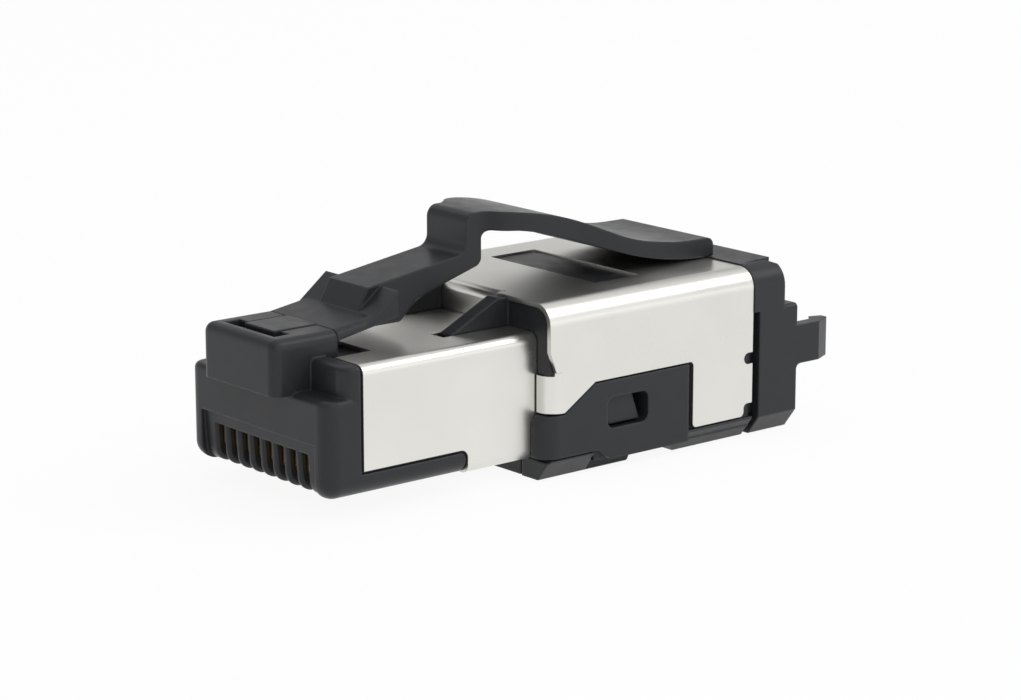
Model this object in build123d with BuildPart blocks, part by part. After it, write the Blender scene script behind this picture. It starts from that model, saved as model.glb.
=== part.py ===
from build123d import *
import os

# Shielded plug that is fitted to a network cable in the field, in millimetres. Its nose is the
# eight-contact modular plug, its body holds the board and the wire terminals, and its cap takes the cable.
# In the plug's own planes y runs back from the nose's front face and z up from the nose's underside;
# places along the body, the cap and the lever's rear half count from the body's collar instead.

# Play between two separate pieces, and how far a cut reaches past a face
FIT = 0.03
CLEAR = 1.0

# Nose and its contacts
NOSE_WIDTH = 11.68
NOSE_HEIGHT = 6.55
NOSE_LENGTH = 13.12
FACE_DEPTH = 2.05
FACE_CORNER = 0.8
FACE_TOE = 0.9
FACE_EDGE = 0.3
LEDGE_HEIGHT = 5.0
LEDGE_DEPTH = 1.15
ARM_LENGTH = 8.52
ARM_HEIGHT = 1.14
ARM_END = 0.3
COMB_WIDTH = 9.6
COMB_HEIGHT = 2.7
COMB_TOP_DEPTH = 0.2
COMB_SET_BACK = 0.37
COMB_TOE = 0.8
CONTACTS = 8
PITCH = 1.016
SLOT_WIDTH = 0.58
COMB_RIB_EDGE = 0.14
SLOT_HEIGHT = 2.1
SLOT_DEPTH = 1.0
CONTACT_WIDTH = 0.46
CONTACT_THICKNESS = 0.32
CONTACT_BEND = 0.35
CONTACT_TIP_DROP = 0.15
PIN_FRONT_ROW = 5.7
PIN_ROW_SPACING = 1.4
PIN_PROUD = 0.4
CAVITY_WIDTH = 9.0
CAVITY_FRONT = 4.4
CAVITY_HEIGHT = 2.7

# Latch head, the block over the nose's face, and the pocket in its top
HEAD_WIDTH = 6.1
HEAD_PROUD = 1.05
HEAD_UNDERSIDE = 4.9
HEAD_RISE = 1.14
HEAD_REAR = 2.78
HEAD_EDGE = 0.5
POCKET_WIDTH = 4.25
POCKET_WALL = 0.72
POCKET_DEPTH = 0.85
TONGUE_WIDTH = 2.4
POCKET_REAR = 0.6
TONGUE_FRONT = 0.3
TONGUE_PLAY = 0.2
TONGUE_RISE = 0.03

# Sheets around the nose and the body
NOSE_SHEET = 0.2
NOSE_BEND = 0.5
SHIELD_FRONT = 2.21
SHIELD_ARM_PLAY = 0.14
SHIELD_LIP = 2.4
HEAD_CUT_WIDTH = 7.15
HEAD_CUT_REAR = 4.42
BODY_SHEET = 0.25
BODY_BEND = 1.1
SHELL_FRONT = -0.12
SHELL_REAR = 13.95

# Latch lever; heights count from the nose's top, and from the riser on, places count from the collar
TONGUE_THICKNESS = 0.6
PLATE_WIDTH = 6.0
PLATE_FRONT = 2.84
PLATE_UNDERSIDE = 0.62
RAMP_FOOT = 5.12
RAMP_FOOT_HEIGHT = 1.49
CATCH_Y = 6.57
CATCH_HEIGHT = 2.62
CATCH_REAR = 6.66
CATCH_UNDERSIDE = 1.31
ARM_FRONT = 5.74
RISER_FOOT = (-1.15, 3.55)
RISER_FOOT_BEND = 0.65
RISER_HEAD = (-1.15, 5.57)
RISER_HEAD_BEND = 0.6
ARCH_TOP = [
    (2.05, 5.4),
    (3.55, 5.11),
    (5.55, 4.48),
    (7.05, 3.87),
    (9.05, 3.17),
    (11.05, 2.81),
    (13.45, 2.67),
]
PADDLE_END = 14.36
PADDLE_ROUND = 0.45
PADDLE_UNDER = [
    (12.05, 1.74),
    (10.55, 1.96),
    (9.05, 2.29),
    (7.05, 2.9),
    (4.55, 3.73),
    (3.05, 4.2),
    (1.45, 4.53),
]
RISER_REAR = -0.19
ARCH_UNDERSIDE = 4.62
RISER_HEEL = (-0.19, 2.87)
ARM_ROOT_TOP = (8.8, 1.65)
ARM_ROOT_REAR = 7.75
UNDER_ARCH_BEND = 0.45
ROOT_BEND = 0.3
LEVER_ARM_WIDTH = 3.2
PADDLE_WIDTH = 6.8
LEVER_SIDE = [(2.2, 0.45), (2.65, 1.35), (2.9, 2.65), (3.05, 5.35)]
WIDENING_START = -0.4
WIDENING_END = 10.35
PLATE_EDGE = 0.45

# Side of the rear shell
STRAP_TOP = 4.42
STRAP_BOTTOM = 2.47
STRAP_BEND_SHARE = 0.776
STRAP_END = 0.08
STRAP_LEG = 0.07
SHELL_RAMP_REAR = 2.89
SHELL_CUT_TOP = 3.77
SHELL_LEG_FRONT = 9.67
SHELL_CORNER = 0.25
REAR_SEAM = 0.3
SHELL_LEG_BOTTOM = 0.2
HOOK_TOP = 5.7
HOOK_TIP = (0.3, 4.6)
TONGUE_HALF = 2.6
TONGUE_BEND = 0.5
TONGUE_RELIEF = 0.63
REAR_NOTCH = (13.63, 3.32)
REAR_NOTCH_RADIUS = 0.3
CORNER_NOTCH = (13.35, 0.87)

# Body, whose top rises over the nose's top
BODY_WIDTH = 14.0
BODY_RISE = 1.57
RIB_INSIDE = 2.68
RIB_THICKNESS = 0.87
RIB_FRONT = -3.7
RIB_TOP_FRONT = -0.65
RIB_DROP = 0.1
RIB_SLOT_PLAY = 0.1
RIB_SLOT_FRONT = -4.28
WINDOW_WIDTH = 8.5
WINDOW_FRONT = 5.24
WINDOW_REAR = 8.31
WINDOW_CORNER = 0.15
PAD_DROP = 0.1
SEAM = 0.1
PANEL_FRONT = -0.43
PANEL_CORNER_SHARE = 0.8
PANEL_BEVEL_BOTTOM = 1.88
PANEL_BEVEL = 0.28
PANEL_BITE_FRONT = 3.05
PANEL_BITE_REAR = 3.95
PANEL_BOTTOM_FRONT = 0.14
PANEL_BOTTOM_REAR = -0.47
CATCH_WINDOW_SPAN = (3.72, 6.53)
CATCH_WINDOW_HEIGHT = (1.14, 2.78)
CATCH_WINDOW_CORNER = 0.45
BODY_WALL = 0.97
BODY_CAVITY_FRONT = 1.25
BODY_CAVITY_BOTTOM = 0.9
BODY_ROOF = 1.22
HATCH_REAR = 6.85
LEDGE_REAR = 7.25
LEDGE_WALL = 0.65

# Foot, which the cover, the body and the cap share
FOOT_DEPTH = 1.05
FOOT_BEVEL = 0.8
FOOT_TOP = 0.1
REAR_FOOT_FRONT = 8.95
REAR_FOOT_SLANT = 0.5
COVER_SIDE_DROP = 0.1
COVER_FRONT = -0.18
COVER_REAR = 5.8
COVER_REAR_SLANT = 0.35
COVER_TONGUE_REAR = 7.15
COVER_TONGUE_BOTTOM = -0.4
COVER_TOP = 0.05
COVER_SET_BACK = 0.09
COVER_SLIT = 4.66
COVER_SLIT_WIDTH = 0.2
COVER_SLIT_DEPTH = 0.3
COVER_BITE_FRONT = 2.95
COVER_BITE_PLAY = 0.2
COVER_BITE_BOTTOM = -0.95
COVER_PLAY = 0.05
SNAP_ARM_THICKNESS = 0.6
SNAP_ARM_SPAN = (3.75, 6.35)
SNAP_ARM_TOP = 3.0
SNAP_NUB_FRONT = 3.75
SNAP_NUB_REAR = 6.1
SNAP_NUB_BOTTOM = 1.3
SNAP_NUB_LEAN = 0.5

# Board, terminals and the two blocks around them
BOARD_BOTTOM = 2.63
BOARD_THICKNESS = 0.8
BOARD_WIDTH = 8.8
BOARD_SIDE_GAP = 0.29
BOARD_FRONT = 4.7
BOARD_REAR = 5.25
PIN_HOLE = 0.34
FORK_WIDTH = 1.5
FORK_THICKNESS = 0.3
FORK_SPREAD = 0.4
FORK_UPPER_HEIGHT = 5.4
FORK_LOWER_HEIGHT = 1.7
FORK_FOOT = 2.25
FORK_STEP = 3.45
FORK_END = 9.25
FORK_BEND = 0.35
FORK_SLOT = 0.36
FORK_SLOT_LENGTH = 1.8
BLOCK_SIDE_GAP = 0.19
BLOCK_FRONT = 4.25
BLOCK_REAR = 7.25
ORGANIZER_REAR = 13.15
ORGANIZER_SIDE_GAP = 0.15
ORGANIZER_GAP = 0.1
CHANNEL_HALF = 0.55
CHANNEL_Y = 8.35
SPREADER_RADIUS = 2.4
SPREADER_DEPTH = 2.6

# Cap with the cable's entry
CAP_PROUD = 0.06
CAP_REAR = 17.15
CAP_TOP_REAR = 16.19
CAP_STEP = 5.83
CAP_STEP_CORNER = 0.25
CAP_RIB_HALF = 5.8
CAP_RIB_RISE = 0.08
CAP_SLOPE_FRONT = 15.75
CAP_SLOPE_DROP = 0.18
CAP_CORNER = 1.25
GROOVE_REAR = 14.4
GROOVE_TOP = 5.75
GROOVE_DEPTH = 0.7
CHEEK_FRONT = 13.35
CHEEK_INSIDE = 4.75
ENTRY_Z = 3.55
ENTRY_RADIUS = 3.0
SLEEVE_SEAT_RADIUS = 3.6
SLEEVE_SEAT_REAR = 15.85
SLEEVE_WALL = 0.25
SLEEVE_LENGTH = 1.8
SLEEVE_SLITS = 6
SLEEVE_SLIT_WIDTH = 0.5
SLEEVE_SLIT_LENGTH = 1.2
TAB_THICKNESS = 0.72
TAB_BOTTOM = 2.48
TAB_TOP = 4.6
TAB_END = 19.88
TAB_BEVEL = (0.5, 1.05)
TAB_NUB = 0.44
TAB_NUB_FOOT = 18.8
TAB_NUB_TIP = 19.17
TAB_NUB_LEAN = 0.24
TAB_ROOT = 0.3

# Planes: level, lengthwise and crosswise, all through the nose's lower front edge
COLLAR_FACE = NOSE_LENGTH + FIT
PLUG = Plane(origin=(0, (HEAD_PROUD - COLLAR_FACE - TAB_END) / 2, FOOT_DEPTH))
SIDE = Plane(origin=PLUG.origin, x_dir=(0, 1, 0), z_dir=(1, 0, 0))
ACROSS = Plane(origin=PLUG.origin, x_dir=(-1, 0, 0), z_dir=(0, 1, 0))

# The same three planes through the collar's face
BODY = Plane(origin=PLUG.origin + Vector(0, COLLAR_FACE, 0))
BODY_SIDE = Plane(origin=BODY.origin, x_dir=(0, 1, 0), z_dir=(1, 0, 0))
BODY_ACROSS = Plane(origin=BODY.origin, x_dir=(-1, 0, 0), z_dir=(0, 1, 0))

NOSE_HALF = NOSE_WIDTH / 2
BODY_HALF = BODY_WIDTH / 2
HEAD_TOP = NOSE_HEIGHT + HEAD_RISE
BODY_TOP = NOSE_HEIGHT + BODY_RISE
TONGUE_BOTTOM = NOSE_HEIGHT + FIT
BODY_CAVITY_TOP = BODY_TOP - BODY_ROOF
CORE_HALF = NOSE_HALF - NOSE_SHEET - FIT
CORE_TOP = NOSE_HEIGHT - NOSE_SHEET - FIT
CORE_BEND = NOSE_BEND - NOSE_SHEET - FIT
INNER_HALF = BODY_HALF - BODY_SHEET - FIT
INNER_TOP = BODY_TOP - BODY_SHEET - FIT
INNER_BEND = BODY_BEND - BODY_SHEET - FIT
STRAP_BACK = SHELL_FRONT + BODY_SHEET + FIT
CAP_HALF = BODY_HALF + CAP_PROUD
CAP_TOP = BODY_TOP + CAP_PROUD
CAVITY_HALF = INNER_HALF - BODY_WALL
PANEL_THICKNESS = BODY_HALF - NOSE_HALF - FIT
STRAP_BEND = STRAP_BEND_SHARE * (BODY_HALF - NOSE_HALF)
SHELL_RAMP_FRONT = SHELL_FRONT + STRAP_BEND + STRAP_LEG
LEDGE_HALF = BODY_HALF - LEDGE_WALL
COVER_HALF = BODY_HALF - COVER_SIDE_DROP
COVER_BITE_HALF = LEDGE_HALF - COVER_BITE_PLAY
SNAP_ARM_SIDE = CAVITY_HALF - 2 * FIT
BOARD_HALF = SNAP_ARM_SIDE - SNAP_ARM_THICKNESS - BOARD_SIDE_GAP
BLOCK_HALF = SNAP_ARM_SIDE - SNAP_ARM_THICKNESS - BLOCK_SIDE_GAP
ORGANIZER_HALF = CAVITY_HALF - ORGANIZER_SIDE_GAP
BOARD_END = COLLAR_FACE + BOARD_REAR
BOARD_TOP = BOARD_BOTTOM + BOARD_THICKNESS
SLOT_REAR = PIN_FRONT_ROW + PIN_ROW_SPACING + CONTACT_THICKNESS
CONTACT_X = [PITCH * (index - (CONTACTS - 1) / 2) for index in range(CONTACTS)]
FORK_X = [FORK_SPREAD * CAVITY_HALF * (index - 1.5) for index in range(4)]


def outline(plane, points):
    """Closed flat shape with straight sides through the points."""
    with BuildSketch(plane) as flat:
        with BuildLine():
            Polyline(*points, close=True)
        make_face()
    return flat.sketch


def bent_strip(plane, points, bend, thickness):
    """Strip of even thickness along a line that turns with one bend radius."""
    with BuildSketch(plane) as flat:
        with BuildLine():
            FilletPolyline(*points, radius=bend)
        trace(line_width=thickness)
    return flat.sketch


def block(x_span, y_span, z_span, mode=Mode.ADD):
    """Block between two places along each axis of the plug."""
    with Locations([(sum(x_span) / 2, sum(y_span) / 2, sum(z_span) / 2)]):
        Box(x_span[1] - x_span[0], y_span[1] - y_span[0], z_span[1] - z_span[0], mode=mode)


def both_sides(x_span, y_span, z_span, mode=Mode.ADD):
    """The same block on the right and on the left of the plug."""
    block(x_span, y_span, z_span, mode)
    block((-x_span[1], -x_span[0]), y_span, z_span, mode)


def between(shapes, axis, low, high=None):
    """Shapes with their middle between two places along an axis of the plug, or at one place."""
    start = PLUG.origin.dot(axis.direction)
    high = low if high is None else high
    return shapes.filter_by_position(axis, start + low - FIT / 2, start + high + FIT / 2)


def foot_section(plane, top, half_width):
    """Crosswise section of the foot, bevelled along both lower edges."""
    low_half = half_width - FOOT_BEVEL
    right = [(low_half, -FOOT_DEPTH), (half_width, 0), (half_width, top)]
    return outline(plane, right + [(-x, z) for x, z in reversed(right)])


def tube_section(plane, lower_right):
    """Crosswise section of the body under the rear shell, over the points of its lower right side."""
    with BuildSketch(plane) as section:
        with BuildLine():
            right = [*lower_right, (INNER_HALF, INNER_TOP)]
            Polyline(*right, *[(-x, z) for x, z in reversed(right)], close=True)
        make_face()
        fillet(section.vertices().group_by(Axis.Y)[-1], INNER_BEND)
    return section.sketch


def blade_slot(x, z, front, rear):
    """Cut for a terminal's blade."""
    half = FORK_WIDTH / 2 + FIT
    height = FORK_THICKNESS / 2 + FIT
    block((x - half, x + half), (front, rear), (z - height, z + height), Mode.SUBTRACT)


def over_collar(places):
    """Places counted from the collar's face and the nose's top, as places along the plug and heights."""
    return [(COLLAR_FACE + y, NOSE_HEIGHT + z) for y, z in places]


def pin_place(index):
    """Place along the plug of a contact's pin, in the front or the rear row."""
    return PIN_FRONT_ROW + CONTACT_THICKNESS / 2 + (index % 2) * PIN_ROW_SPACING


# Latch head over the nose's face, rounded at its front and along its top
with BuildPart() as latch_head:
    block((-HEAD_WIDTH / 2, HEAD_WIDTH / 2), (-HEAD_PROUD, HEAD_REAR), (HEAD_UNDERSIDE, HEAD_TOP))
    fillet(latch_head.edges().filter_by(Axis.Z).group_by(Axis.Y)[0], HEAD_EDGE)
    crown = latch_head.faces().sort_by(Axis.Z)[-1].edges()
    fillet(crown - crown.group_by(Axis.Y)[-1], HEAD_EDGE)

# Nose housing: the face with its ledge and arms, the core under the shield and the latch head
with BuildPart(PLUG) as nose_housing:
    face_side = [
        (0, 0),
        (0, LEDGE_HEIGHT),
        (LEDGE_DEPTH, LEDGE_HEIGHT),
        (LEDGE_DEPTH, NOSE_HEIGHT),
        (FACE_DEPTH, NOSE_HEIGHT),
        (FACE_DEPTH, ARM_HEIGHT),
        (ARM_LENGTH, ARM_HEIGHT),
        (ARM_LENGTH, 0),
    ]
    extrude(outline(SIDE, face_side), amount=NOSE_HALF, both=True)
    upright = nose_housing.edges().filter_by(Axis.Z)
    fillet(between(upright, Axis.Y, 0, LEDGE_DEPTH), FACE_CORNER)
    fillet(between(nose_housing.edges().filter_by(Axis.X), Axis.Z, 0).sort_by(Axis.Y)[0], FACE_TOE)
    fillet(between(nose_housing.edges().filter_by(Axis.X), Axis.Y, ARM_LENGTH).sort_by(Axis.Z)[-1], ARM_END)
    ledge = between(nose_housing.faces().filter_by(Axis.Z), Axis.Z, LEDGE_HEIGHT).edges()
    fillet(between(ledge, Axis.Y, 0, LEDGE_DEPTH - FIT), FACE_EDGE)
    crown = between(nose_housing.faces().filter_by(Axis.Z), Axis.Z, NOSE_HEIGHT).edges()
    fillet(between(crown, Axis.Y, 0, FACE_DEPTH - FIT), FACE_EDGE)

    # Core under the shield, with a keel between the shield's two lips
    with BuildSketch(ACROSS.offset(FACE_DEPTH - FACE_EDGE)):
        with Locations((0, (CORE_TOP + NOSE_SHEET + FIT) / 2)):
            RectangleRounded(2 * CORE_HALF, CORE_TOP - NOSE_SHEET - FIT, CORE_BEND)
    extrude(amount=NOSE_LENGTH - FACE_DEPTH + FACE_EDGE)
    keel_half = NOSE_HALF - SHIELD_LIP - FIT
    block((-keel_half, keel_half), (ARM_LENGTH - FIT, NOSE_LENGTH), (0, 2 * NOSE_SHEET))
    add(latch_head.part)

    # Pocket in the head, open behind for the lever's tongue
    block(
        (-POCKET_WIDTH / 2, POCKET_WIDTH / 2),
        (POCKET_WALL - HEAD_PROUD, POCKET_REAR),
        (HEAD_TOP - POCKET_DEPTH, HEAD_TOP),
        Mode.SUBTRACT,
    )
    channel_half = TONGUE_WIDTH / 2 + TONGUE_PLAY
    block(
        (-channel_half, channel_half),
        (POCKET_WALL - HEAD_PROUD, HEAD_REAR),
        (HEAD_TOP - TONGUE_THICKNESS - FIT, HEAD_TOP),
        Mode.SUBTRACT,
    )

    # Comb: a recess that leans back over the contacts, which lie in slots around its rounded toe
    comb_side = [
        (-HEAD_PROUD, COMB_HEIGHT),
        (COMB_TOP_DEPTH, COMB_HEIGHT),
        (COMB_SET_BACK, 0),
        (COMB_SET_BACK + 2 * COMB_TOE, 0),
        (COMB_SET_BACK + 2 * COMB_TOE, -CLEAR),
        (-HEAD_PROUD, -CLEAR),
    ]
    with BuildSketch(SIDE) as comb:
        with BuildLine():
            Polyline(*comb_side, close=True)
        make_face()
        fillet(comb.vertices().sort_by_distance((COMB_SET_BACK, 0, 0))[0], COMB_TOE)
    extrude(amount=COMB_WIDTH / 2, both=True, mode=Mode.SUBTRACT)
    slot_side = [
        (-CLEAR, SLOT_HEIGHT),
        (SLOT_DEPTH, SLOT_HEIGHT),
        (SLOT_DEPTH, SLOT_DEPTH),
        (PIN_FRONT_ROW - CONTACT_BEND, SLOT_DEPTH),
        (PIN_FRONT_ROW - CONTACT_BEND, BOARD_BOTTOM),
        (SLOT_REAR + CONTACT_BEND, BOARD_BOTTOM),
        (SLOT_REAR + CONTACT_BEND, -CLEAR),
        (-CLEAR, -CLEAR),
    ]
    for x in CONTACT_X:
        with BuildSketch(SIDE.offset(x - SLOT_WIDTH / 2)) as slot:
            with BuildLine():
                Polyline(*slot_side, close=True)
            make_face()
            corner = slot.vertices().sort_by_distance((SLOT_DEPTH, SLOT_DEPTH, 0))[0]
            fillet(corner, CONTACT_BEND - CONTACT_THICKNESS / 2 - FIT)
        extrude(amount=SLOT_WIDTH, mode=Mode.SUBTRACT)
    ribs = nose_housing.edges() - nose_housing.edges().filter_by(Axis.X)
    ribs = between(ribs, Axis.X, -CAVITY_WIDTH / 2, CAVITY_WIDTH / 2)
    ribs = between(ribs, Axis.Y, COMB_TOP_DEPTH, COMB_TOE)
    chamfer(between(ribs, Axis.Z, 0, SLOT_HEIGHT - CONTACT_TIP_DROP), COMB_RIB_EDGE)

    # Cavity for the board, open behind
    block(
        (-CAVITY_WIDTH / 2, CAVITY_WIDTH / 2),
        (CAVITY_FRONT, NOSE_LENGTH),
        (BOARD_BOTTOM - FIT, BOARD_BOTTOM + CAVITY_HEIGHT),
        Mode.SUBTRACT,
    )
nose_housing.part.label = "nose_housing"

# Contacts: wires bent round the nose's lower front edge, with pins in two staggered rows in the board
contacts = []
for index, x in enumerate(CONTACT_X):
    lie = SLOT_DEPTH - FIT - CONTACT_THICKNESS / 2
    pin_y = pin_place(index)
    wire = [
        (lie, SLOT_HEIGHT - CONTACT_TIP_DROP),
        (lie, lie),
        (pin_y, lie),
        (pin_y, BOARD_TOP + PIN_PROUD),
    ]
    with BuildPart(PLUG) as contact:
        extrude(
            bent_strip(SIDE.offset(x - CONTACT_WIDTH / 2), wire, CONTACT_BEND, CONTACT_THICKNESS),
            amount=CONTACT_WIDTH,
        )
    contact.part.label = f"contact_{index + 1}"
    contacts.append(contact)

# Nose shield: sheet folded round the nose, with two lips under it
with BuildPart(PLUG) as nose_shield:
    half = NOSE_HALF - NOSE_SHEET / 2
    lip = NOSE_HALF - SHIELD_LIP
    fold = [
        (-lip, NOSE_SHEET / 2),
        (-half, NOSE_SHEET / 2),
        (-half, NOSE_HEIGHT - NOSE_SHEET / 2),
        (half, NOSE_HEIGHT - NOSE_SHEET / 2),
        (half, NOSE_SHEET / 2),
        (lip, NOSE_SHEET / 2),
    ]
    extrude(
        bent_strip(ACROSS.offset(SHIELD_FRONT), fold, NOSE_BEND - NOSE_SHEET / 2, NOSE_SHEET),
        amount=NOSE_LENGTH - SHIELD_FRONT,
    )
    arm_rear = ARM_LENGTH + SHIELD_ARM_PLAY
    arm_top = ARM_HEIGHT + SHIELD_ARM_PLAY
    with BuildSketch(SIDE) as arm_cut:
        with BuildLine():
            Polyline((0, -CLEAR), (0, arm_top), (arm_rear, arm_top), (arm_rear, -CLEAR), close=True)
        make_face()
        corner = arm_cut.vertices().sort_by_distance((arm_rear, arm_top, 0))[0]
        fillet(corner, ARM_END + SHIELD_ARM_PLAY)
    extrude(amount=NOSE_WIDTH, both=True, mode=Mode.SUBTRACT)
    block(
        (-HEAD_CUT_WIDTH / 2, HEAD_CUT_WIDTH / 2),
        (FACE_DEPTH, HEAD_CUT_REAR),
        (CORE_TOP, NOSE_HEIGHT),
        Mode.SUBTRACT,
    )
    both_sides(
        (RIB_INSIDE - RIB_SLOT_PLAY, RIB_INSIDE + RIB_THICKNESS + RIB_SLOT_PLAY),
        (COLLAR_FACE + RIB_SLOT_FRONT, NOSE_LENGTH),
        (CORE_TOP, NOSE_HEIGHT),
        Mode.SUBTRACT,
    )
nose_shield.part.label = "nose_shield"

# Front plate of the lever with its two locking ears, rounded along both upper sides
with BuildPart() as ear_plate:
    plate = [
        (PLATE_FRONT, NOSE_HEIGHT + PLATE_UNDERSIDE),
        (PLATE_FRONT, HEAD_TOP),
        (RAMP_FOOT, NOSE_HEIGHT + RAMP_FOOT_HEIGHT),
        (CATCH_Y, NOSE_HEIGHT + CATCH_HEIGHT),
        (CATCH_REAR, NOSE_HEIGHT + CATCH_UNDERSIDE),
    ]
    extrude(outline(Plane.YZ, plate), amount=PLATE_WIDTH / 2, both=True)
    sides = ear_plate.faces().filter_by(Axis.X).edges()
    plate_top = sides.filter_by_position(Axis.Y, PLATE_FRONT, RAMP_FOOT, (False, False))
    fillet(plate_top.group_by(Axis.Z)[-1], PLATE_EDGE)

# Latch lever: arm, arch and paddle follow one side profile, narrowed by a plan outline
with BuildPart(PLUG) as latch_lever:
    arch_start = (RISER_HEAD[0] + 2 * RISER_HEAD_BEND, RISER_HEAD[1])
    riser = over_collar([RISER_FOOT, RISER_HEAD, arch_start])
    arch_top = over_collar(ARCH_TOP)
    paddle_rear = COLLAR_FACE + PADDLE_END
    inner_riser = over_collar([(RISER_REAR, ARCH_UNDERSIDE), RISER_HEEL])
    with BuildSketch(SIDE):
        with BuildLine():
            front = Polyline(
                (PLATE_FRONT, NOSE_HEIGHT + PLATE_UNDERSIDE),
                (PLATE_FRONT, HEAD_TOP),
                (RAMP_FOOT, NOSE_HEIGHT + RAMP_FOOT_HEIGHT),
                (ARM_FRONT, NOSE_HEIGHT + CATCH_HEIGHT),
            )
            arm = FilletPolyline(front @ 1, *riser, radius=[RISER_FOOT_BEND, RISER_HEAD_BEND])
            arch = Spline(arm @ 1, *arch_top, tangents=[(1, 0), (1, 0)])
            end = FilletPolyline(
                arch @ 1,
                (paddle_rear, arch_top[-1][1]),
                (paddle_rear, CAP_TOP + FIT),
                radius=PADDLE_ROUND,
            )
            under_paddle = Spline(end @ 1, *over_collar(PADDLE_UNDER))
            under_arch = FilletPolyline(
                under_paddle @ 1,
                *inner_riser,
                (ARM_ROOT_TOP[0], NOSE_HEIGHT + ARM_ROOT_TOP[1]),
                (ARM_ROOT_REAR, NOSE_HEIGHT + PLATE_UNDERSIDE),
                front @ 0,
                radius=[UNDER_ARCH_BEND, UNDER_ARCH_BEND, ROOT_BEND, ROOT_BEND],
            )
        make_face()
    extrude(amount=PADDLE_WIDTH / 2, both=True)
    arm_half = LEVER_ARM_WIDTH / 2
    paddle_half = PADDLE_WIDTH / 2
    with BuildSketch(BODY):
        with BuildLine():
            start = Polyline(
                (-arm_half, WIDENING_START),
                (-arm_half, -COLLAR_FACE),
                (arm_half, -COLLAR_FACE),
                (arm_half, WIDENING_START),
            )
            right = Spline(start @ 1, *LEVER_SIDE, (paddle_half, WIDENING_END), tangents=[(0, 1), (0, 1)])
            rear = Polyline(
                right @ 1,
                (paddle_half, PADDLE_END + CLEAR),
                (-paddle_half, PADDLE_END + CLEAR),
                (-paddle_half, WIDENING_END),
            )
            left = [(-x, y) for x, y in reversed(LEVER_SIDE)]
            Spline(rear @ 1, *left, start @ 0, tangents=[(0, -1), (0, -1)])
        make_face()
    extrude(amount=2 * (NOSE_HEIGHT + RISER_HEAD[1]), mode=Mode.INTERSECT)

    add(ear_plate.part)
    block(
        (-TONGUE_WIDTH / 2, TONGUE_WIDTH / 2),
        (TONGUE_FRONT, PLATE_FRONT),
        (HEAD_TOP - TONGUE_THICKNESS, HEAD_TOP + TONGUE_RISE),
    )
latch_lever.part.label = "latch_lever"

# Side panels of the body, with a rounded front corner
with BuildPart() as side_panels:
    panel_side = [
        (PANEL_FRONT, PANEL_BOTTOM_FRONT),
        (PANEL_FRONT, PANEL_BEVEL_BOTTOM),
        (PANEL_FRONT + PANEL_BEVEL, STRAP_BOTTOM - SEAM),
        (SHELL_RAMP_FRONT, STRAP_BOTTOM - SEAM),
        (SHELL_RAMP_REAR, SHELL_CUT_TOP - SEAM),
        (SHELL_LEG_FRONT - REAR_SEAM, SHELL_CUT_TOP - SEAM),
        (SHELL_LEG_FRONT - REAR_SEAM, PANEL_BOTTOM_REAR),
        (PANEL_BITE_REAR, PANEL_BOTTOM_REAR),
        (PANEL_BITE_FRONT, PANEL_BOTTOM_FRONT),
    ]
    extrude(outline(Plane.YZ.offset(NOSE_HALF + FIT), panel_side), amount=PANEL_THICKNESS)
    front_corner = side_panels.edges().filter_by(Axis.Z).group_by(Axis.Y)[0].sort_by(Axis.X)[-1]
    fillet(front_corner, PANEL_CORNER_SHARE * PANEL_THICKNESS)
    mirror(about=Plane.YZ)

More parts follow.
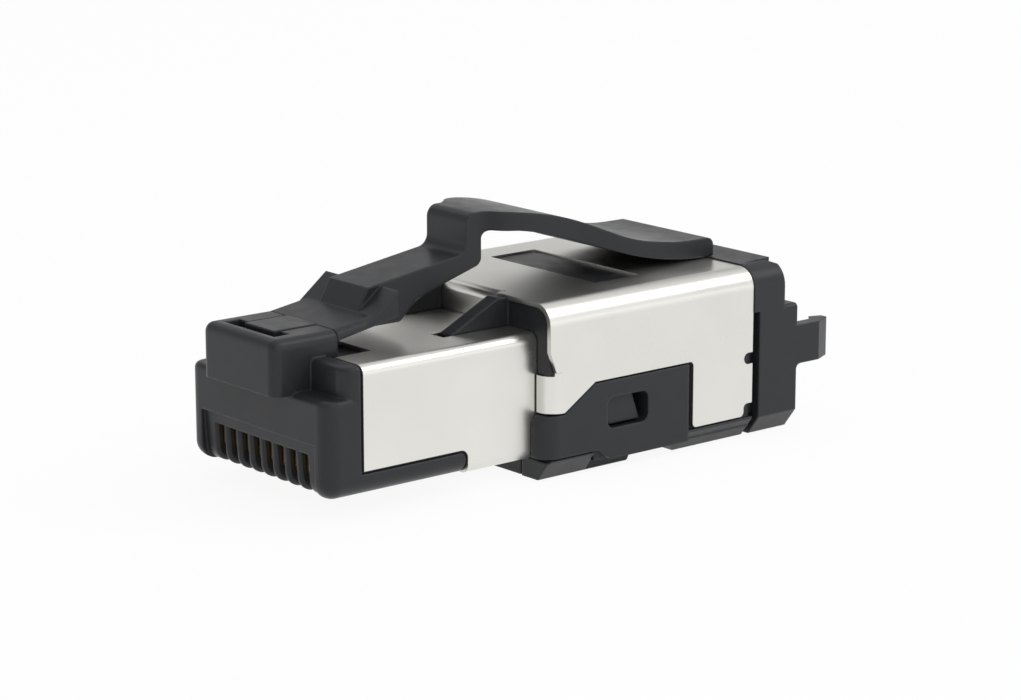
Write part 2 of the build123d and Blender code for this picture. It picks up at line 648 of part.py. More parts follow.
# Body housing: a tube behind a collar, with the side panels, two ribs, a pad and the rear foot
with BuildPart(BODY) as body_housing:
    tube = [(INNER_HALF, PANEL_BOTTOM_REAR)]
    extrude(tube_section(BODY_ACROSS.offset(STRAP_BACK), tube), amount=SHELL_REAR - STRAP_BACK)
    fillet(body_housing.edges().filter_by(Axis.Z).group_by(Axis.Y)[0], STRAP_BEND - BODY_SHEET - FIT)
    collar = [
        (NOSE_HALF, PANEL_BOTTOM_FRONT),
        (NOSE_HALF, STRAP_TOP + FIT),
        (INNER_HALF, STRAP_TOP + FIT),
    ]
    extrude(tube_section(BODY_ACROSS, collar), amount=BODY_CAVITY_FRONT)
    add(side_panels.part)
    foot_front = REAR_FOOT_FRONT - REAR_FOOT_SLANT
    foot_plane = BODY_ACROSS.offset(foot_front)
    extrude(foot_section(foot_plane, FOOT_TOP, BODY_HALF), amount=SHELL_REAR - foot_front)
    foot_slant = [
        (foot_front - FIT, PANEL_BOTTOM_REAR),
        (foot_front, PANEL_BOTTOM_REAR),
        (REAR_FOOT_FRONT, -FOOT_DEPTH),
        (foot_front - FIT, -FOOT_DEPTH),
    ]
    extrude(outline(BODY_SIDE, foot_slant), amount=BODY_HALF, both=True, mode=Mode.SUBTRACT)

    # Ribs on the nose and the pad in the shell's window
    rib = [
        (RIB_FRONT, CORE_TOP + FIT),
        (RIB_FRONT, NOSE_HEIGHT),
        (RIB_TOP_FRONT, BODY_TOP - RIB_DROP),
        (SHELL_FRONT - FIT, BODY_TOP - RIB_DROP),
        (SHELL_FRONT - FIT, INNER_TOP),
        (0, INNER_TOP),
        (0, CORE_TOP + FIT),
    ]
    for x in (RIB_INSIDE, -RIB_INSIDE - RIB_THICKNESS):
        extrude(outline(BODY_SIDE.offset(x), rib), amount=RIB_THICKNESS)
    pad_half = WINDOW_WIDTH / 2 - 2 * FIT
    block(
        (-pad_half, pad_half),
        (WINDOW_FRONT + 2 * FIT, WINDOW_REAR - 2 * FIT),
        (INNER_TOP, BODY_TOP - PAD_DROP),
    )

    # Ledge that takes the cover, recess for the shell's tongue, and the cavity with its openings
    block(
        (-BODY_HALF, BODY_HALF),
        (0, PANEL_BITE_FRONT),
        (-FOOT_DEPTH, PANEL_BOTTOM_FRONT),
        Mode.SUBTRACT,
    )
    block(
        (-LEDGE_HALF, LEDGE_HALF),
        (0, LEDGE_REAR),
        (-FOOT_DEPTH, PANEL_BOTTOM_FRONT),
        Mode.SUBTRACT,
    )
    recess = [
        (PANEL_FRONT, TONGUE_BOTTOM - FIT),
        (STRAP_BACK, TONGUE_BOTTOM - FIT),
        (STRAP_BACK, INNER_TOP - TONGUE_BEND / 2),
        (STRAP_BACK + TONGUE_BEND / 2, INNER_TOP),
        (STRAP_BACK + TONGUE_BEND / 2, BODY_TOP),
        (PANEL_FRONT, BODY_TOP),
    ]
    extrude(outline(BODY_SIDE, recess), amount=TONGUE_HALF + 2 * FIT, both=True, mode=Mode.SUBTRACT)
    block(
        (-CAVITY_HALF, CAVITY_HALF),
        (BODY_CAVITY_FRONT, SHELL_REAR),
        (BODY_CAVITY_BOTTOM, BODY_CAVITY_TOP),
        Mode.SUBTRACT,
    )
    block(
        (-CAVITY_HALF, CAVITY_HALF),
        (BODY_CAVITY_FRONT, HATCH_REAR),
        (-FOOT_DEPTH, BODY_CAVITY_BOTTOM),
        Mode.SUBTRACT,
    )
    block(
        (-CAVITY_WIDTH / 2, CAVITY_WIDTH / 2),
        (0, BODY_CAVITY_FRONT),
        (BOARD_BOTTOM - FIT, BOARD_BOTTOM + CAVITY_HEIGHT),
        Mode.SUBTRACT,
    )
    with BuildSketch(BODY_SIDE):
        with Locations((sum(CATCH_WINDOW_SPAN) / 2, sum(CATCH_WINDOW_HEIGHT) / 2)):
            RectangleRounded(
                CATCH_WINDOW_SPAN[1] - CATCH_WINDOW_SPAN[0],
                CATCH_WINDOW_HEIGHT[1] - CATCH_WINDOW_HEIGHT[0],
                CATCH_WINDOW_CORNER,
            )
    extrude(amount=BODY_HALF, both=True, mode=Mode.SUBTRACT)
body_housing.part.label = "body_housing"

# Straps of the rear shell, bent round the body's front corners
with BuildPart() as straps:
    sheet_x = BODY_HALF - BODY_SHEET / 2
    strap = [
        (sheet_x, SHELL_RAMP_FRONT),
        (sheet_x, SHELL_FRONT + BODY_SHEET / 2),
        (NOSE_HALF + STRAP_END, SHELL_FRONT + BODY_SHEET / 2),
    ]
    extrude(
        bent_strip(Plane.XY.offset(STRAP_BOTTOM), strap, STRAP_BEND - BODY_SHEET / 2, BODY_SHEET),
        amount=HOOK_TIP[1] - STRAP_BOTTOM,
    )
    block((NOSE_HALF, BODY_HALF), (SHELL_FRONT, HOOK_TIP[0]), (STRAP_TOP, HOOK_TIP[1]), Mode.SUBTRACT)
    mirror(about=Plane.YZ)

# Rear shell: sheet folded over the body, with cut-out sides, the straps and a tongue
with BuildPart(BODY) as rear_shell:
    sheet_x = BODY_HALF - BODY_SHEET / 2
    sheet_top = BODY_TOP - BODY_SHEET / 2
    fold = [
        (-sheet_x, SHELL_LEG_BOTTOM),
        (-sheet_x, sheet_top),
        (sheet_x, sheet_top),
        (sheet_x, SHELL_LEG_BOTTOM),
    ]
    extrude(
        bent_strip(BODY_ACROSS.offset(SHELL_FRONT), fold, BODY_BEND - BODY_SHEET / 2, BODY_SHEET),
        amount=SHELL_REAR - SHELL_FRONT,
    )
    shell_side = [
        (SHELL_FRONT, BODY_TOP),
        (SHELL_FRONT, HOOK_TOP),
        HOOK_TIP,
        (SHELL_RAMP_FRONT, HOOK_TIP[1]),
        (SHELL_RAMP_FRONT, STRAP_BOTTOM),
        (SHELL_RAMP_REAR, SHELL_CUT_TOP),
        (SHELL_LEG_FRONT, SHELL_CUT_TOP),
        (SHELL_LEG_FRONT, SHELL_LEG_BOTTOM),
        (CORNER_NOTCH[0], SHELL_LEG_BOTTOM),
        CORNER_NOTCH,
        (SHELL_REAR, CORNER_NOTCH[1]),
        (SHELL_REAR, BODY_TOP),
    ]
    with BuildSketch(BODY_SIDE) as cut_side:
        with BuildLine():
            Polyline(*shell_side, close=True)
        make_face()
        for y, z in (shell_side[6], shell_side[7], shell_side[8], shell_side[9]):
            fillet(cut_side.vertices().sort_by_distance((y, z, 0))[0], SHELL_CORNER)
    extrude(amount=BODY_HALF, both=True, mode=Mode.INTERSECT)
    add(straps.part)
    relief_rear = SHELL_FRONT + TONGUE_RELIEF
    relief_half = TONGUE_HALF + TONGUE_PLAY
    block((-relief_half, relief_half), (SHELL_FRONT, relief_rear), (INNER_TOP, BODY_TOP), Mode.SUBTRACT)
    tongue = [
        (relief_rear, sheet_top),
        (SHELL_FRONT + BODY_SHEET / 2, sheet_top),
        (SHELL_FRONT + BODY_SHEET / 2, TONGUE_BOTTOM),
    ]
    extrude(
        bent_strip(BODY_SIDE, tongue, TONGUE_BEND - BODY_SHEET / 2, BODY_SHEET),
        amount=TONGUE_HALF,
        both=True,
    )
    with BuildSketch(BODY.offset(INNER_TOP)):
        with Locations((0, (WINDOW_FRONT + WINDOW_REAR) / 2)):
            RectangleRounded(WINDOW_WIDTH, WINDOW_REAR - WINDOW_FRONT, WINDOW_CORNER)
    extrude(amount=BODY_TOP - INNER_TOP, mode=Mode.SUBTRACT)
    with BuildSketch(BODY_SIDE):
        with Locations((REAR_NOTCH[0] + REAR_NOTCH_RADIUS, REAR_NOTCH[1])):
            SlotOverall(4 * REAR_NOTCH_RADIUS, 2 * REAR_NOTCH_RADIUS)
    extrude(amount=BODY_HALF, both=True, mode=Mode.SUBTRACT)
rear_shell.part.label = "rear_shell"

# Snap arms of the cover, with the nubs that show in the body's side windows
with BuildPart() as snap_arms:
    block((SNAP_ARM_SIDE - SNAP_ARM_THICKNESS, SNAP_ARM_SIDE), SNAP_ARM_SPAN, (COVER_TOP, SNAP_ARM_TOP))
    nub_top = CATCH_WINDOW_HEIGHT[1] - FIT
    nub = [
        (SNAP_NUB_FRONT, SNAP_NUB_BOTTOM),
        (SNAP_NUB_REAR, SNAP_NUB_BOTTOM),
        (SNAP_NUB_REAR - SNAP_NUB_LEAN, nub_top),
        (SNAP_NUB_FRONT, nub_top),
    ]
    extrude(outline(Plane.YZ.offset(SNAP_ARM_SIDE), nub), amount=INNER_HALF - SNAP_ARM_SIDE)
    nub_corners = snap_arms.edges().filter_by(Axis.X).filter_by_position(Axis.X, SNAP_ARM_SIDE, INNER_HALF)
    nub_corners = nub_corners.group_by(Axis.Y)[0]
    fillet(nub_corners, CATCH_WINDOW_CORNER - FIT)
    mirror(about=Plane.YZ)

# Bottom cover: the foot's front half, with a boss in the body's hatch, a thin tongue and the snap arms
with BuildPart(BODY) as bottom_cover:
    cover_length = COVER_REAR + COVER_REAR_SLANT - COVER_FRONT
    extrude(foot_section(BODY_ACROSS.offset(COVER_FRONT), COVER_TOP, COVER_HALF), amount=cover_length)
    slant_rear = COVER_FRONT + cover_length
    cover_slant = [
        (COVER_REAR, -FOOT_DEPTH),
        (slant_rear, COVER_TONGUE_BOTTOM),
        (slant_rear + FIT, COVER_TONGUE_BOTTOM),
        (slant_rear + FIT, -FOOT_DEPTH),
    ]
    extrude(outline(BODY_SIDE, cover_slant), amount=COVER_HALF, both=True, mode=Mode.SUBTRACT)
    both_sides(
        (COVER_BITE_HALF, COVER_HALF),
        (COVER_BITE_FRONT, slant_rear),
        (COVER_BITE_BOTTOM, COVER_TOP),
        Mode.SUBTRACT,
    )
    block(
        (-COVER_SLIT, COVER_SLIT),
        (COVER_FRONT, COVER_FRONT + COVER_SET_BACK),
        (-FOOT_DEPTH, COVER_TOP),
        Mode.SUBTRACT,
    )
    both_sides(
        (COVER_SLIT, COVER_SLIT + COVER_SLIT_WIDTH),
        (COVER_FRONT, COVER_FRONT + COVER_SLIT_DEPTH),
        (-FOOT_DEPTH, COVER_TOP),
        Mode.SUBTRACT,
    )
    block((-COVER_HALF, COVER_HALF), (COVER_FRONT, 0), (-FIT, COVER_TOP), Mode.SUBTRACT)
    block(
        (-COVER_BITE_HALF, COVER_BITE_HALF),
        (SNAP_ARM_SPAN[0], COVER_TONGUE_REAR),
        (COVER_TONGUE_BOTTOM, COVER_TOP),
    )
    boss_half = CAVITY_HALF - COVER_PLAY
    block(
        (-boss_half, boss_half),
        (BODY_CAVITY_FRONT + COVER_PLAY, HATCH_REAR - COVER_PLAY),
        (COVER_TOP, BODY_CAVITY_BOTTOM - COVER_PLAY),
    )
    add(snap_arms.part)
bottom_cover.part.label = "bottom_cover"

# Circuit board: narrow in the nose, wider in the body, with a hole for each contact's pin
with BuildPart(PLUG) as circuit_board:
    body_front = COLLAR_FACE + BODY_CAVITY_FRONT + COVER_PLAY
    block((-BOARD_WIDTH / 2, BOARD_WIDTH / 2), (BOARD_FRONT, body_front), (BOARD_BOTTOM, BOARD_TOP))
    block((-BOARD_HALF, BOARD_HALF), (body_front, BOARD_END), (BOARD_BOTTOM, BOARD_TOP))
    with BuildSketch(PLUG.offset(BOARD_BOTTOM)):
        for index, x in enumerate(CONTACT_X):
            with Locations((x, pin_place(index))):
                Circle(PIN_HOLE)
    extrude(amount=BOARD_THICKNESS, mode=Mode.SUBTRACT)
circuit_board.part.label = "circuit_board"

# Wire terminals: four over the board and four under it, each a forked blade with a foot on the board
terminals = []
over = BOARD_TOP + FIT + FORK_THICKNESS / 2
under = BOARD_BOTTOM - FIT - FORK_THICKNESS / 2
heights = [(over, FORK_UPPER_HEIGHT)] * 4 + [(under, FORK_LOWER_HEIGHT)] * 4
for index, (foot_z, blade_z) in enumerate(heights):
    x = FORK_X[index % 4]
    line = [(FORK_FOOT, foot_z), (FORK_STEP, foot_z), (FORK_STEP, blade_z), (FORK_END, blade_z)]
    with BuildPart(BODY) as terminal:
        extrude(
            bent_strip(BODY_SIDE.offset(x - FORK_WIDTH / 2), line, FORK_BEND, FORK_THICKNESS),
            amount=FORK_WIDTH,
        )
        block(
            (x - FORK_SLOT / 2, x + FORK_SLOT / 2),
            (FORK_END - FORK_SLOT_LENGTH, FORK_END),
            (blade_z - FORK_THICKNESS, blade_z + FORK_THICKNESS),
            Mode.SUBTRACT,
        )
    terminal.part.label = f"idc_terminal_{index + 1}"
    terminals.append(terminal)

# Terminal block: holds the board's rear edge and the blades
with BuildPart(BODY) as terminal_block:
    block(
        (-BLOCK_HALF, BLOCK_HALF),
        (BLOCK_FRONT, BLOCK_REAR),
        (BODY_CAVITY_BOTTOM + FIT, BODY_CAVITY_TOP - FIT),
    )
    board_slot_half = BOARD_HALF + FIT
    block(
        (-board_slot_half, board_slot_half),
        (BLOCK_FRONT, BOARD_REAR + FIT),
        (BOARD_BOTTOM - FIT, BOARD_TOP + FIT),
        Mode.SUBTRACT,
    )
    for x in FORK_X:
        for blade_z in (FORK_UPPER_HEIGHT, FORK_LOWER_HEIGHT):
            blade_slot(x, blade_z, BLOCK_FRONT, BLOCK_REAR)
terminal_block.part.label = "terminal_block"

# Wire organizer: leads the cable's eight wires over and under it to the blades
with BuildPart(BODY) as wire_organizer:
    organizer_bottom = BODY_CAVITY_BOTTOM + FIT
    organizer_top = BODY_CAVITY_TOP - FIT
    block(
        (-ORGANIZER_HALF, ORGANIZER_HALF),
        (BLOCK_REAR + ORGANIZER_GAP, ORGANIZER_REAR),
        (organizer_bottom, organizer_top),
    )
    for x in FORK_X:
        for blade_z in (FORK_UPPER_HEIGHT, FORK_LOWER_HEIGHT):
            blade_slot(x, blade_z, BLOCK_REAR, FORK_END + FIT)
        channel = (x - CHANNEL_HALF, x + CHANNEL_HALF)
        shaft = (CHANNEL_Y - CHANNEL_HALF, CHANNEL_Y + CHANNEL_HALF)
        run = (CHANNEL_Y, ORGANIZER_REAR)
        block(channel, shaft, (organizer_bottom, organizer_top), Mode.SUBTRACT)
        block(channel, run, (organizer_bottom, organizer_bottom + CHANNEL_HALF), Mode.SUBTRACT)
        block(channel, run, (organizer_top - CHANNEL_HALF, organizer_top), Mode.SUBTRACT)
    with BuildSketch(BODY_ACROSS.offset(ORGANIZER_REAR - SPREADER_DEPTH)):
        with Locations((0, ENTRY_Z)):
            Circle(SPREADER_RADIUS)
    extrude(amount=SPREADER_DEPTH, mode=Mode.SUBTRACT)
wire_organizer.part.label = "wire_organizer"

# Rear cap: closes the body, takes the cable and carries a squeeze tab with a nub on each side
with BuildPart() as tabs:
    tab_x = CAP_HALF - TAB_THICKNESS
    tab_front = CAP_REAR - TAB_THICKNESS
    tab = [
        (tab_x, tab_front),
        (tab_x, TAB_NUB_FOOT),
        (tab_x - TAB_NUB, TAB_NUB_TIP),
        (tab_x - TAB_NUB + TAB_NUB_LEAN, TAB_END),
        (CAP_HALF - TAB_BEVEL[0], TAB_END),
        (CAP_HALF, TAB_END - TAB_BEVEL[1]),
        (CAP_HALF, tab_front),
    ]
    extrude(outline(Plane.XY.offset(TAB_BOTTOM), tab), amount=TAB_TOP - TAB_BOTTOM)
    mirror(about=Plane.YZ)

with BuildPart(BODY) as rear_cap:
    cap_front = SHELL_REAR + FIT
    with BuildSketch(BODY_ACROSS.offset(cap_front)) as cap_section:
        with BuildLine():
            right = [(CAP_HALF - FOOT_BEVEL, -FOOT_DEPTH), (CAP_HALF, 0), (CAP_HALF, CAP_TOP)]
            Polyline(*right, *[(-x, z) for x, z in reversed(right)], close=True)
        make_face()
        fillet(cap_section.vertices().group_by(Axis.Y)[-1], CAP_CORNER)
    extrude(amount=CAP_REAR - cap_front)
    block((-CAP_HALF, CAP_HALF), (CAP_TOP_REAR, CAP_REAR), (CAP_STEP, CAP_TOP), Mode.SUBTRACT)
    step = rear_cap.faces().sort_by(Axis.Y)[-1].edges().filter_by(Axis.X).sort_by(Axis.Z)[-1]
    step_face = rear_cap.faces().filter_by(Axis.Z).sort_by_distance(step.center())[0]
    fillet(step_face.edges().filter_by(Axis.Y), CAP_STEP_CORNER)
    add(tabs.part)
    roots = rear_cap.edges().filter_by(Axis.X).sort_by_distance((0, 0, 0))
    roots = roots.filter_by_position(Axis.Z, FOOT_DEPTH + TAB_BOTTOM - FIT, FOOT_DEPTH + TAB_BOTTOM + FIT)
    fillet(roots.group_by(Axis.Y)[0], TAB_ROOT)

    # Rib along the top, level to its rear edge where the rest slopes down
    rib = [
        (PADDLE_END, CAP_TOP - CAP_RIB_RISE),
        (PADDLE_END, CAP_TOP),
        (CAP_TOP_REAR, CAP_TOP + CAP_RIB_RISE),
        (CAP_TOP_REAR, CAP_TOP - CAP_RIB_RISE),
    ]
    extrude(outline(BODY_SIDE, rib), amount=CAP_RIB_HALF, both=True)
    slope = [
        (CAP_SLOPE_FRONT, CAP_TOP),
        (CAP_SLOPE_FRONT, CAP_TOP + CLEAR),
        (CAP_TOP_REAR, CAP_TOP + CLEAR),
        (CAP_TOP_REAR, CAP_TOP - CAP_SLOPE_DROP),
    ]
    for x in (CAP_RIB_HALF, -CAP_HALF):
        extrude(outline(BODY_SIDE.offset(x), slope), amount=CAP_HALF - CAP_RIB_HALF, mode=Mode.SUBTRACT)

    # Grip groove at the front, the cheeks inside the body, and the bore with the sleeve's seat
    with BuildSketch(BODY_ACROSS.offset(cap_front)) as groove:
        Rectangle(2 * BODY_WIDTH, 2 * GROOVE_TOP)
        grip = foot_section(Plane.XY, GROOVE_TOP + GROOVE_DEPTH, CAP_HALF)
        offset(grip, -GROOVE_DEPTH, mode=Mode.SUBTRACT)
    extrude(amount=GROOVE_REAR - cap_front, mode=Mode.SUBTRACT)
    both_sides(
        (CHEEK_INSIDE, CAVITY_HALF - COVER_PLAY),
        (CHEEK_FRONT, GROOVE_REAR),
        (BODY_CAVITY_BOTTOM + COVER_PLAY, BODY_CAVITY_TOP - COVER_PLAY),
    )
    for radius, front, rear in (
        (SLEEVE_SEAT_RADIUS, cap_front, SLEEVE_SEAT_REAR),
        (ENTRY_RADIUS, cap_front, CAP_REAR),
    ):
        with BuildSketch(BODY_ACROSS.offset(front)):
            with Locations((0, ENTRY_Z)):
                Circle(radius)
        extrude(amount=rear - front, mode=Mode.SUBTRACT)
rear_cap.part.label = "rear_cap"

# Clamp spring: a slit sleeve in the cap that grips the cable's screen
with BuildPart(BODY) as clamp_spring:
    sleeve_radius = SLEEVE_SEAT_RADIUS - FIT
    sleeve_front = SLEEVE_SEAT_REAR - FIT - SLEEVE_LENGTH
    with BuildSketch(BODY_ACROSS.offset(sleeve_front)):
        with Locations((0, ENTRY_Z)):
            Circle(sleeve_radius)
            Circle(sleeve_radius - SLEEVE_WALL, mode=Mode.SUBTRACT)
            Rectangle(
                SLEEVE_SLIT_WIDTH,
                2 * sleeve_radius,
                align=(Align.CENTER, Align.MIN),
                mode=Mode.SUBTRACT,
            )
    extrude(amount=SLEEVE_LENGTH)
    with BuildSketch(BODY_ACROSS.offset(sleeve_front)):
        with Locations((0, ENTRY_Z)):
            with PolarLocations(sleeve_radius, SLEEVE_SLITS):
                Rectangle(2 * SLEEVE_WALL + SLEEVE_SLIT_WIDTH, SLEEVE_SLIT_WIDTH)
    extrude(amount=SLEEVE_SLIT_LENGTH, mode=Mode.SUBTRACT)
clamp_spring.part.label = "clamp_spring"

os.makedirs("parts", exist_ok=True)
for contact in contacts:
    export_step(contact.part, f"parts/{contact.part.label}.step")
for terminal in terminals:
    export_step(terminal.part, f"parts/{terminal.part.label}.step")
export_step(nose_housing.part, "parts/nose_housing.step")
export_step(nose_shield.part, "parts/nose_shield.step")
export_step(latch_lever.part, "parts/latch_lever.step")
export_step(body_housing.part, "parts/body_housing.step")
export_step(rear_shell.part, "parts/rear_shell.step")
export_step(bottom_cover.part, "parts/bottom_cover.step")
export_step(circuit_board.part, "parts/circuit_board.step")
export_step(terminal_block.part, "parts/terminal_block.step")
export_step(wire_organizer.part, "parts/wire_organizer.step")
export_step(rear_cap.part, "parts/rear_cap.step")
export_step(clamp_spring.part, "parts/clamp_spring.step")
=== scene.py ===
"""Looks of a shielded network plug that is fitted to a cable in the field.

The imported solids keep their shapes. This file gives each of them its finish, adds one thin web
that the solids don't have, and sets up a plain studio with the camera. Lengths are in metres.
"""

import logging
from dataclasses import dataclass
from enum import Enum

import bmesh
import bpy
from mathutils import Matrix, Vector


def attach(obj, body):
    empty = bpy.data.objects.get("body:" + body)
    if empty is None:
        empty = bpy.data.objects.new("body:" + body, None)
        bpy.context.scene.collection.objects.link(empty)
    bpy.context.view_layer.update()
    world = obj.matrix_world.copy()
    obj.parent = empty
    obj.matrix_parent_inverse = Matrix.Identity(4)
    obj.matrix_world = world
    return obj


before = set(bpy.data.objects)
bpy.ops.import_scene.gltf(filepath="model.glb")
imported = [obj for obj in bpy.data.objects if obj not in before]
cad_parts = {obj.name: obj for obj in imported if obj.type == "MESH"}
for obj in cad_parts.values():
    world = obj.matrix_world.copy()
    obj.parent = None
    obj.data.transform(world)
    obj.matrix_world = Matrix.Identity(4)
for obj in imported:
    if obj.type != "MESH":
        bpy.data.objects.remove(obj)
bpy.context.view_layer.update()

log = logging.getLogger("plug")
Colour = tuple[float, float, float]
Place = tuple[float, float, float]
WHITE = (1.0, 1.0, 1.0, 1.0)


def srgb(red: int, green: int, blue: int) -> Colour:
    """Turn display values from 0 to 255 into the linear colour that shaders use.

    Args:
        red: Red display value.
        green: Green display value.
        blue: Blue display value.

    Returns:
        Linear red, green and blue.
    """

    def linear(value: int) -> float:
        """Return one linear channel, by the standard display curve."""
        share = value / 255
        return share / 12.92 if share <= 0.04045 else ((share + 0.055) / 1.055) ** 2.4

    return linear(red), linear(green), linear(blue)


class Slot(Enum):
    """Material slots of the record, each with its own finish."""

    HOUSING = "anthracite_plastic"
    SHEET = "plated_sheet"
    CONTACT = "gold_contact"
    BOARD = "green_board"
    BLADE = "tinned_blade"
    BLOCK = "black_insulator"
    ORGANIZER = "clear_insulator"
    SPRING = "spring_steel"


class NodeTree:
    """Short way to place and join shader nodes."""

    column_width: int = 200

    def __init__(self, graph: bpy.types.NodeTree) -> None:
        """Keep the graph that the nodes go into."""
        self.graph = graph
        self.column = 0

    def add(self, kind: str, **settings: object) -> bpy.types.Node:
        """Place a node and set its properties and inputs.

        Args:
            kind: Blender's name of the node type.
            settings: Properties by name, and inputs by name with spaces written as underscores.

        Returns:
            The new node.
        """
        node = self.graph.nodes.new(kind)
        node.location = (self.column * self.column_width, 0)
        self.column += 1
        for name, value in settings.items():
            if hasattr(node, name):
                setattr(node, name, value)
            else:
                node.inputs[name.replace("_", " ")].default_value = value
        return node

    def join(self, source: bpy.types.NodeSocket, target: bpy.types.NodeSocket) -> None:
        """Link an output to an input."""
        self.graph.links.new(source, target)


class Effects:
    """Shader node groups that several finishes share, each built once."""

    coarse_scale_share: float = 0.12
    cloud_scale_share: float = 0.08
    edge_samples: int = 6
    edge_start: float = 0.995
    edge_full: float = 0.85

    def __init__(self) -> None:
        """Build the three groups."""
        self.grain = self.build_grain()
        self.rolled = self.build_rolled()
        self.soft_edges = self.build_soft_edges()

    @staticmethod
    def start_group(
        name: str, inputs: dict[str, float], outputs: dict[str, str]
    ) -> tuple[NodeTree, bpy.types.Node, bpy.types.Node]:
        """Start a node group with named sockets.

        Args:
            name: Name of the group.
            inputs: Input names with their usual values.
            outputs: Output names with their socket types.

        Returns:
            The tree helper, the group's input node and its output node.
        """
        group = bpy.data.node_groups.new(name, "ShaderNodeTree")
        for label, value in inputs.items():
            socket = group.interface.new_socket(
                label, in_out="INPUT", socket_type="NodeSocketFloat"
            )
            socket.default_value = value
        for label, kind in outputs.items():
            group.interface.new_socket(label, in_out="OUTPUT", socket_type=kind)
        tree = NodeTree(group)
        return tree, tree.add("NodeGroupInput"), tree.add("NodeGroupOutput")

    def build_grain(self) -> bpy.types.NodeTree:
        """Build the group of the fine two-scale grain that moulds and mills leave.

        Returns:
            Node group with a Height and a Tone output.
        """
        tree, start, end = self.start_group(
            "fine_grain",
            {"Scale": 9000.0, "Coarse Share": 0.35},
            {"Height": "NodeSocketFloat", "Tone": "NodeSocketFloat"},
        )
        place = tree.add("ShaderNodeTexCoord")
        fine = tree.add("ShaderNodeTexNoise", Detail=3.0, Roughness=0.6)
        coarse_scale = tree.add("ShaderNodeMath", operation="MULTIPLY")
        coarse_scale.inputs[1].default_value = self.coarse_scale_share
        coarse = tree.add("ShaderNodeTexNoise", Detail=2.0, Roughness=0.5)
        blend = tree.add("ShaderNodeMix", data_type="FLOAT")
        tree.join(place.outputs["Object"], fine.inputs["Vector"])
        tree.join(place.outputs["Object"], coarse.inputs["Vector"])
        tree.join(start.outputs["Scale"], fine.inputs["Scale"])
        tree.join(start.outputs["Scale"], coarse_scale.inputs[0])
        tree.join(coarse_scale.outputs[0], coarse.inputs["Scale"])
        tree.join(start.outputs["Coarse Share"], blend.inputs["Factor"])
        tree.join(fine.outputs["Fac"], blend.inputs["A"])
        tree.join(coarse.outputs["Fac"], blend.inputs["B"])
        tree.join(blend.outputs["Result"], end.inputs["Height"])
        tree.join(coarse.outputs["Fac"], end.inputs["Tone"])
        return tree.graph

    def build_rolled(self) -> bpy.types.NodeTree:
        """Build the group of the faint lines that rolling leaves along a sheet.

        Returns:
            Node group with a Height and a Tone output.
        """
        tree, start, end = self.start_group(
            "rolled_lines",
            {"Scale": 2500.0, "Stretch": 0.06},
            {"Height": "NodeSocketFloat", "Tone": "NodeSocketFloat"},
        )
        place = tree.add("ShaderNodeTexCoord")
        parts = tree.add("ShaderNodeSeparateXYZ")
        along = tree.add("ShaderNodeMath", operation="MULTIPLY")
        gather = tree.add("ShaderNodeCombineXYZ")
        lines = tree.add("ShaderNodeTexNoise", Detail=4.0, Roughness=0.55)
        cloud_scale = tree.add("ShaderNodeMath", operation="MULTIPLY")
        cloud_scale.inputs[1].default_value = self.cloud_scale_share
        cloud = tree.add("ShaderNodeTexNoise", Detail=2.0, Roughness=0.5)
        tree.join(place.outputs["Object"], parts.inputs[0])
        tree.join(parts.outputs["Y"], along.inputs[0])
        tree.join(start.outputs["Stretch"], along.inputs[1])
        tree.join(parts.outputs["X"], gather.inputs["X"])
        tree.join(along.outputs[0], gather.inputs["Y"])
        tree.join(parts.outputs["Z"], gather.inputs["Z"])
        tree.join(gather.outputs[0], lines.inputs["Vector"])
        tree.join(start.outputs["Scale"], lines.inputs["Scale"])
        tree.join(start.outputs["Scale"], cloud_scale.inputs[0])
        tree.join(cloud_scale.outputs[0], cloud.inputs["Scale"])
        tree.join(place.outputs["Object"], cloud.inputs["Vector"])
        tree.join(lines.outputs["Fac"], end.inputs["Height"])
        tree.join(cloud.outputs["Fac"], end.inputs["Tone"])
        return tree.graph

    def build_soft_edges(self) -> bpy.types.NodeTree:
        """Build the group that rounds sharp edges and masks them for edge wear and painted edge
        light.

        Returns:
            Node group with a Normal and an Edge output.
        """
        tree, start, end = self.start_group(
            "soft_edges",
            {"Radius": 0.0001},
            {"Normal": "NodeSocketVector", "Edge": "NodeSocketFloat"},
        )
        rounded = tree.add("ShaderNodeBevel", samples=self.edge_samples)
        flat = tree.add("ShaderNodeNewGeometry")
        match = tree.add("ShaderNodeVectorMath", operation="DOT_PRODUCT")
        edge = tree.add(
            "ShaderNodeMapRange", From_Min=self.edge_start, From_Max=self.edge_full
        )
        tree.join(start.outputs["Radius"], rounded.inputs["Radius"])
        tree.join(rounded.outputs["Normal"], match.inputs[0])
        tree.join(flat.outputs["Normal"], match.inputs[1])
        tree.join(match.outputs["Value"], edge.inputs["Value"])
        tree.join(rounded.outputs["Normal"], end.inputs["Normal"])
        tree.join(edge.outputs["Result"], end.inputs["Edge"])
        return tree.graph


